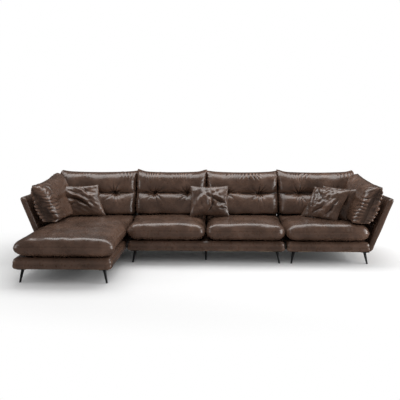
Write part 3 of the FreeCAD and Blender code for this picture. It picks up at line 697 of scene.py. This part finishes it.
def side_points(way, seed):
    """A sewn cushion along an arm, leaning out; its front end is gathered into folds.

    With along from 0 at the front to 1, its top line rises from SIDE_FRONT_TOP to
    SIDE_REAR_TOP, and its seam stands at x = SIDE_SEAM + SIDE_LEAN * (z - SIDE_FRONT_TOP)
    - SIDE_TOE * along. Its outer half is 1 + 1.3 * along * (1 - upper) - 0.6 * upper^3
    times as deep, with upper from 0 at the foot to 1, and stops at the face of the arm.
    """
    low = node_box("side_cushion_right" if way > 0 else "side_cushion_left")[0]
    foot = low[2] + REST
    start = low[1] + 0.004
    length = PANEL_FACE - BACK_ROOM + (foot - PANEL_FOOT) * PANEL_LEAN - start - 0.006
    cell = bpy.context.scene.sofa_cushions.cell * 0.75
    points, quads, a, b, _ = stuffed_skin((length, SIDE_TALL), SIDE_FULL, powers=(12, 14, 7),
                                          fall=0.42, draw=(0.008, 0.0, 0.006), cell=cell)
    along = points[:, 0] / length + 0.5
    top = SIDE_FRONT_TOP + (SIDE_REAR_TOP - SIDE_FRONT_TOP) * along
    rise = points[:, 2] / SIDE_TALL + 0.5
    points[:, 2] = z = foot + rise * (top - foot)
    wobble = ripple(points, 0.20, seed)
    from_front = (1 + a) * length / 2
    from_rear = (1 - a) * length / 2
    from_top = (1 - b) * SIDE_TALL / 2
    inside = np.clip(-points[:, 1] / SIDE_FULL[0], 0, 1)
    gather = ridges(z / 0.0135 + 1.8 * wobble + 5.0 * from_front) * np.exp(-from_front / 0.085)
    gather *= (0.6 + 0.4 * ripple(points, 0.10, seed + 1)) * smoothstep(0, 0.010, from_front)
    tuck = ridges(points[:, 0] / 0.021 + 2.2 * wobble) * fade(from_top - 0.035, 0.055)
    tuck *= np.maximum(ripple(points, 0.30, seed + 4) + 0.3, 0)
    end = ridges(z / 0.0155 + 2.0 * wobble) * np.exp(-from_rear / 0.05)
    waist = fade(rise - 0.52, 0.10) * inside * smoothstep(0.05, 0.3, along)
    slow = ripple(points, 0.18, seed + 2) * inside
    move = 0.028 * gather + 0.011 * tuck + 0.003 * end + 0.006 * slow - 0.014 * waist
    points += surface_normals(points, quads) * move[:, None]
    z = np.maximum(points[:, 2], foot)
    along = np.clip(along, 0, 1)
    upper = np.clip((z - foot) / (SIDE_FRONT_TOP - foot), 0, 1)
    deep = 1 + 1.3 * along * (1 - upper) - 0.60 * upper ** 3
    seam = SIDE_SEAM + (z - SIDE_FRONT_TOP) * SIDE_LEAN - SIDE_TOE * along
    arm = ARM_FACE + (z - PANEL_FOOT) * PANEL_LEAN - REST
    x = np.minimum(seam + np.where(points[:, 1] > 0, deep, 1) * points[:, 1], arm)
    y = points[:, 0] + length / 2 + start + PANEL_LEAN * along * (z - foot)
    result = np.stack([way * x, y, z], axis=1)
    return result, outward(result, quads)


class SOFA_OT_sides(bpy.types.Operator):
    """Two side cushions that lean out on the arms."""
    bl_idname = "sofa.sides"
    bl_label = "Side cushions"

    def execute(self, context):
        for side, name, seed in ((-1, "left", 41), (1, "right", 57)):
            points, quads = side_points(side, seed)
            put_cushion(f"side_pad_{name}", f"side_cushion_{name}", points, quads)
        return {"FINISHED"}


# Loose pillows
PILLOW_SIDE = 0.448
CAD_PILLOW = 0.456  # side of the CAD solids
PILLOW_FULL = 0.135
PILLOW_HEM = 0.004
PILLOW_DRAW = 0.066
PILLOW_CELLS = 88

# How each pillow stands: lean and turn in degrees, slouch, skew, and its shift in metres
STANDS = {
    "left": (26, 13, 0.84, -0.20, (-0.060, -0.030)),
    "middle": (30, 2, 0.84, 0.0, (0.0, -0.030)),
    "right_fore": (26, -42, 0.82, 0.20, (0.012, -0.020)),
    "right_rear": (26, -42, 0.82, 0.16, (0.012, -0.020)),
}

# Its valleys: place across and up from -1 to 1, turn, length, width, depth and arch
FOLDS = {
    "left": ((-0.20, 0.0, -0.55, 0.13, 0.016, 0.030, -1.8),
             (-0.72, -0.35, 0.5, 0.06, 0.014, 0.020, 0.0),
             (0.30, 0.55, 1.9, 0.10, 0.022, 0.016, 1.0)),
    "middle": ((0.15, -0.30, 1.35, 0.10, 0.014, 0.024, 2.0),
               (0.50, -0.05, -0.45, 0.12, 0.016, 0.022, 0.0),
               (0.75, -0.55, 0.2, 0.05, 0.012, 0.018, 0.0)),
    "right_fore": ((-0.45, 0.55, -0.8, 0.10, 0.020, 0.018, 0.0),
                   (0.55, -0.35, 1.2, 0.12, 0.018, 0.020, 1.0),
                   (-0.1, -0.5, 0.9, 0.09, 0.016, 0.014, 0.0)),
    "right_rear": ((0.6, 0.1, 1.3, 0.12, 0.02, 0.018, 0.0),),
}


def valleys(a, b, folds):
    """Height of a pillow's face where folds press valleys into it, with a ridge beside each."""
    height = np.zeros_like(a)
    for place, rise, turn, length, width, depth, arch in folds:
        across = (a - place) * PILLOW_SIDE / 2
        up = (b - rise) * PILLOW_SIDE / 2
        run = across * math.cos(turn) + up * math.sin(turn)
        away = up * math.cos(turn) - across * math.sin(turn) - arch * run ** 2
        valley = np.exp(-np.abs(away) / width) - 0.55 * fade(away - 2.2 * width, 1.6 * width)
        height -= 1.5 * depth * valley * fade(run, length)
    return height


def pillow_points(folds, seed):
    """A square pillow about the origin, standing in XZ with its face towards -Y.

    It is as full as ((1 - |a|^2.4)(1 - |b|^2.4))^0.62, and each side draws in by 15 mm
    between its corners.
    """
    cells = np.array([PILLOW_CELLS, 2, PILLOW_CELLS])
    grid, quads = box_skin(cells)
    a, level, b = (grid / cells * 2 - 1).T
    x = PILLOW_SIDE / 2 * a * (1 - PILLOW_DRAW * (1 - b ** 2) * a ** 2)
    z = PILLOW_SIDE / 2 * b * (1 - PILLOW_DRAW * (1 - a ** 2) * b ** 2)
    full = (np.clip(1 - np.abs(a) ** 2.4, 0, 1) * np.clip(1 - np.abs(b) ** 2.4, 0, 1)) ** 0.62
    edge = np.maximum(np.abs(a), np.abs(b))
    flat = np.stack([x, z], axis=1)
    wave = 0.010 * ripple(flat, 0.16, seed) + 0.005 * ripple(flat, 0.07, seed + 1)
    wobble = ripple(flat, 0.12, seed + 2)
    run = np.where(np.abs(a) > np.abs(b), z, x)
    hem = ridges(run / 0.011 + 2 * wobble) * fade(1 - edge, 0.13) * (1 - edge)
    front = np.where(level < 0, valleys(a, b, folds), 0)
    thick = (PILLOW_FULL / 2 + wave + 0.030 * hem + front) * full
    y = level * np.maximum(thick, PILLOW_HEM / 2)
    out = np.where(level == 0, 1.006, 1.0)
    return np.stack([x * out, y, z * out], axis=1), quads


def turned(points, axis, angle):
    """Points turned about an axis through the origin: 0, 1 or 2 for X, Y or Z."""
    first, second = (axis + 1) % 3, (axis + 2) % 3
    result = points.copy()
    result[:, first] = points[:, first] * math.cos(angle) - points[:, second] * math.sin(angle)
    result[:, second] = points[:, first] * math.sin(angle) + points[:, second] * math.cos(angle)
    return result


def stand_pillow(node, points, lean, turn, slouch, skew, shift):
    """Let a pillow slouch and skew, lean back and turn, its foot at its CAD solid's foot.

    Its height is times slouch, x grows by skew * height, and it is turned by -lean about X
    and then by turn about Z.
    """
    def stood(loose):
        loose = turned(loose, 0, -math.radians(lean))
        return turned(loose, 2, math.radians(turn))
    points = points.copy()
    points[:, 2] = (points[:, 2] + PILLOW_SIDE / 2) * slouch
    points[:, 0] += skew * points[:, 2]
    low, high = node_box(node)
    foot = (low + high) / 2 - stood(np.array([[0, 0, CAD_PILLOW / 2]]))[0]
    points = stood(points) + foot + np.array([*shift, 0.0])
    points[:, 2] += low[2] - points[:, 2].min() + REST
    return points


class SOFA_OT_pillows(bpy.types.Operator):
    """Four loose square pillows with soft folds."""
    bl_idname = "sofa.pillows"
    bl_label = "Loose pillows"

    def execute(self, context):
        for seed, (place, stand) in enumerate(STANDS.items()):
            node = f"pillow_{place}"
            points, quads = pillow_points(FOLDS[place], 71 + 17 * seed)
            points = stand_pillow(node, points, *stand)
            put_cushion(f"loose_{place}", node, points, quads)
        return {"FINISHED"}


# Upholstery of the frame
BAND_RADII = (0.048, 0.054, 0.050)
BAND_WAVE = 0.0016
ARM_RADII = (0.031, 0.034, 0.038)
ARM_WAVE = 0.0018


class SOFA_OT_bands(bpy.types.Operator):
    """Three base bands with round noses, padded over the timber base frames."""
    bl_idname = "sofa.bands"
    bl_label = "Base bands"

    def execute(self, context):
        cell = 1.4 * context.scene.sofa_cushions.cell
        for seed, place in enumerate(("chaise", "middle", "end")):
            node = f"base_cover_{place}"
            low, high = node_box(node)
            size = high - low
            points, quads = padded_skin(size, BAND_RADII, cell, under=3.2)
            wave = BAND_WAVE * (ripple(points, 0.28, 131 + seed) - 1)
            points += surface_normals(points, quads) * wave[:, None]
            points[:, 2] = np.clip(points[:, 2], -size[2] / 2, size[2] / 2 - REST)
            points += (low + high) / 2
            put_band(f"base_band_{place}", node, points, quads)
        return {"FINISHED"}


def arm_points(way, cell):
    """A leaning padded arm with round edges, mitred at the rear to the back panel.

    A padded skin with across, along and rise from 0 to 1 is sheared to x = ARM_FACE +
    PANEL_LEAN * (z - foot) + across * thick, and its rear end draws forward by
    PANEL_LEAN * (top - z) + (1 - across) * thick.
    """
    node = "arm_cover_right" if way > 0 else "arm_cover_left"
    low, high = node_box(node)
    size = high - low
    size[0] = thick = np.abs([low[0], high[0]]).max() - ARM_FACE - size[2] * PANEL_LEAN
    points, quads = padded_skin(size, ARM_RADII, cell, rear=8.0)
    across, along, rise = ((points + size / 2) / size).T
    z = low[2] + rise * size[2]
    x = ARM_FACE + (z - low[2]) * PANEL_LEAN + across * thick
    rear = high[1] - (1 - rise) * size[2] * PANEL_LEAN - (1 - across) * thick
    y = low[1] + along * (rear - low[1])
    points = np.stack([way * x, y, z], axis=1)
    quads = outward(points, quads)
    crease = fade((across - 0.16) * thick, 0.003) * smoothstep(0.94, 1.0, 1 - along)
    move = ARM_WAVE * (ripple(points, 0.24, 171 + way) - 1) - 0.002 * crease
    points += surface_normals(points, quads) * move[:, None]
    return points, quads


class SOFA_OT_arms(bpy.types.Operator):
    """Two leaning arms with round edges, padded over their boards."""
    bl_idname = "sofa.arms"
    bl_label = "Arms"

    def execute(self, context):
        for way, side in ((-1, "left"), (1, "right")):
            points, quads = arm_points(way, context.scene.sofa_cushions.cell)
            put_band(f"arm_pad_{side}", f"arm_cover_{side}", points, quads)
        return {"FINISHED"}


class SOFA_OT_frame(bpy.types.Operator):
    """Finishes of the frame: leather, timber, webbing, cloth, steel and plastic."""
    bl_idname = "sofa.frame"
    bl_label = "Frame and fittings"

    def execute(self, context):
        finish_nodes(("arm_cover", "back_cover", "base_cover"), frame_leather())
        finish_nodes(("arm_board", "back_board", "base_frame"), timber())
        finish_nodes(("webbing",), woven("webbing", (0.05, 0.05, 0.055), 900))
        finish_nodes(("dust_cloth",), woven("dust_cloth", (0.02, 0.02, 0.02), 1400))
        finish_nodes(("glides",), speckled("glide_plastic", (0.02, 0.02, 0.02), 0.5,
                                           900.0, 0.0002))
        finish_nodes(("leg", "module_connectors"),
                     speckled("black_steel", (0.012, 0.012, 0.013), 0.38, 1400.0, 0.0002))
        return {"FINISHED"}


# Stage
SENSOR = 36.0               # width of the camera's sensor in millimetres
FLOOR_HALF = 14.0
FLOOR_SPREAD = (3.0, 1.7)   # half width and depth of the lit part of the floor

# Lamps: name, place, target, width and height, and power as a share of the key lamp's
LAMPS = (
    ("top", (0.0, 1.0, 3.2), (0, 0.2, 0), (6.0, 1.8), 1.0),
    ("right", (5.6, -0.5, 1.8), (0.6, 0.1, 0.6), (3.6, 2.8), 1.75),
    ("left", (-5.4, -0.9, 1.9), (-0.6, 0, 0.6), (1.4, 2.0), 0.30),
)


def area_lamp(name, place, target, size, power):
    """A large soft lamp at a place, turned to a target."""
    lamp = bpy.data.lights.new(name, "AREA")
    lamp.shape = "RECTANGLE"
    lamp.size, lamp.size_y = size
    lamp.energy = power
    holder = bpy.data.objects.new(name, lamp)
    holder.location = place
    way = Vector(target) - Vector(place)
    holder.rotation_euler = way.to_track_quat("-Z", "Y").to_euler()
    bpy.context.scene.collection.objects.link(holder)


def white_world(lighting, gloss):
    """A world that is white to the camera and lights by lighting, times gloss in reflections."""
    world = bpy.data.worlds.new("studio")
    bpy.context.scene.world = world
    world.use_nodes = True
    nodes, links = world.node_tree.nodes, world.node_tree.links
    background = nodes["Background"]
    background.inputs["Color"].default_value = (1, 1, 1, 1)
    ray = nodes.new("ShaderNodeLightPath").outputs
    seen = math_of(nodes, links, "MAXIMUM", ray["Is Camera Ray"], ray["Is Transmission Ray"])
    bright = between(nodes, links, seen, (0, 1), (lighting, 1.0))
    dim = between(nodes, links, ray["Is Glossy Ray"], (0, 1), (1.0, gloss))
    links.new(math_of(nodes, links, "MULTIPLY", bright, dim), background.inputs["Strength"])


def pale_floor():
    """A pale matt floor that takes the sofa's shadow and turns to white away from it.

    The camera sees it mix from lit floor to plain white as (x / w)^2 + ((y - 0.1) / d)^2
    goes from 0.5 to 1.5, with w and d from FLOOR_SPREAD.
    """
    corners = np.array([[-1, -1, 0], [1, -1, 0], [1, 1, 0], [-1, 1, 0]])
    floor = put_mesh("floor", FLOOR_HALF * corners, np.array([[0, 1, 2, 3]]))
    width, depth = FLOOR_SPREAD
    material, nodes, links = new_material("floor")
    shader = nodes["Principled BSDF"]
    shader.inputs["Base Color"].default_value = (0.90, 0.90, 0.90, 1)
    shader.inputs["Roughness"].default_value = 0.6
    where = nodes.new("ShaderNodeTexCoord").outputs["Object"]
    squeeze = add_node(nodes, "ShaderNodeMapping", Location=(0, -0.1 / depth, 0),
                       Scale=(1 / width, 1 / depth, 0))
    links.new(where, squeeze.inputs["Vector"])
    length = nodes.new("ShaderNodeVectorMath")
    length.operation = "DOT_PRODUCT"
    links.new(squeeze.outputs["Vector"], length.inputs[0])
    links.new(squeeze.outputs["Vector"], length.inputs[1])
    far = add_node(nodes, "ShaderNodeMapRange", **{"From Min": 0.5, "From Max": 1.5})
    far.interpolation_type = "SMOOTHSTEP"
    links.new(length.outputs["Value"], far.inputs["Value"])
    ray = nodes.new("ShaderNodeLightPath").outputs
    seen = math_of(nodes, links, "MULTIPLY", far.outputs["Result"], ray["Is Camera Ray"])
    white = add_node(nodes, "ShaderNodeEmission", Color=(1, 1, 1, 1), Strength=1.0)
    blend = nodes.new("ShaderNodeMixShader")
    links.new(seen, blend.inputs[0])
    links.new(shader.outputs["BSDF"], blend.inputs[1])
    links.new(white.outputs["Emission"], blend.inputs[2])
    links.new(blend.outputs["Shader"], nodes["Material Output"].inputs["Surface"])
    floor.data.materials.append(material)
    floor.visible_glossy = False


class SOFA_OT_stage(bpy.types.Operator):
    """Camera, floor, lamps and world of a plain pale studio."""
    bl_idname = "sofa.stage"
    bl_label = "Studio"

    def execute(self, context):
        settings = context.scene.sofa_stage
        context.scene.view_settings.view_transform = "Standard"
        camera = bpy.data.cameras.new("camera")
        camera.lens = settings.lens
        camera.sensor_width = SENSOR
        eye = bpy.data.objects.new("camera", camera)
        eye.location = settings.eye
        way = Vector((-math.sin(settings.yaw) * math.cos(settings.pitch),
                      math.cos(settings.yaw) * math.cos(settings.pitch),
                      -math.sin(settings.pitch)))
        eye.rotation_euler = way.to_track_quat("-Z", "Y").to_euler()
        context.scene.collection.objects.link(eye)
        context.scene.camera = eye
        pale_floor()
        white_world(lighting=0.60, gloss=0.10)
        for name, place, target, size, share in LAMPS:
            area_lamp(name, place, target, size, share * settings.key)
        return {"FINISHED"}


class SOFA_PT_panel(bpy.types.Panel):
    """Lists the sofa's pieces and settings in the 3D view's sidebar."""
    bl_label = "Corner sofa"
    bl_idname = "SOFA_PT_panel"
    bl_space_type = "VIEW_3D"
    bl_region_type = "UI"
    bl_category = "Sofa"

    def draw(self, context):
        for operator in OPERATORS:
            self.layout.operator(operator.bl_idname)
        for group in (context.scene.sofa_leather, context.scene.sofa_cushions,
                      context.scene.sofa_stage):
            for name in group.__annotations__:
                self.layout.prop(group, name)


OPERATORS = (SOFA_OT_stage, SOFA_OT_frame, SOFA_OT_bands, SOFA_OT_arms, SOFA_OT_seats,
             SOFA_OT_backs, SOFA_OT_sides, SOFA_OT_pillows)
SETTINGS = {"sofa_leather": SofaLeather, "sofa_cushions": SofaCushions,
            "sofa_stage": SofaStage}


def register():
    for group in SETTINGS.values():
        bpy.utils.register_class(group)
    for name, group in SETTINGS.items():
        setattr(bpy.types.Scene, name, bpy.props.PointerProperty(type=group))
    for operator in OPERATORS:
        bpy.utils.register_class(operator)
    bpy.utils.register_class(SOFA_PT_panel)


def unregister():
    bpy.utils.unregister_class(SOFA_PT_panel)
    for operator in reversed(OPERATORS):
        bpy.utils.unregister_class(operator)
    for name, group in SETTINGS.items():
        delattr(bpy.types.Scene, name)
        bpy.utils.unregister_class(group)


def main():
    register()
    bpy.ops.sofa.stage()
    bpy.ops.sofa.frame()
    bpy.ops.sofa.bands()
    bpy.ops.sofa.arms()
    bpy.ops.sofa.seats()
    bpy.ops.sofa.backs()
    bpy.ops.sofa.sides()
    bpy.ops.sofa.pillows()


if __name__ == "__main__":
    main()
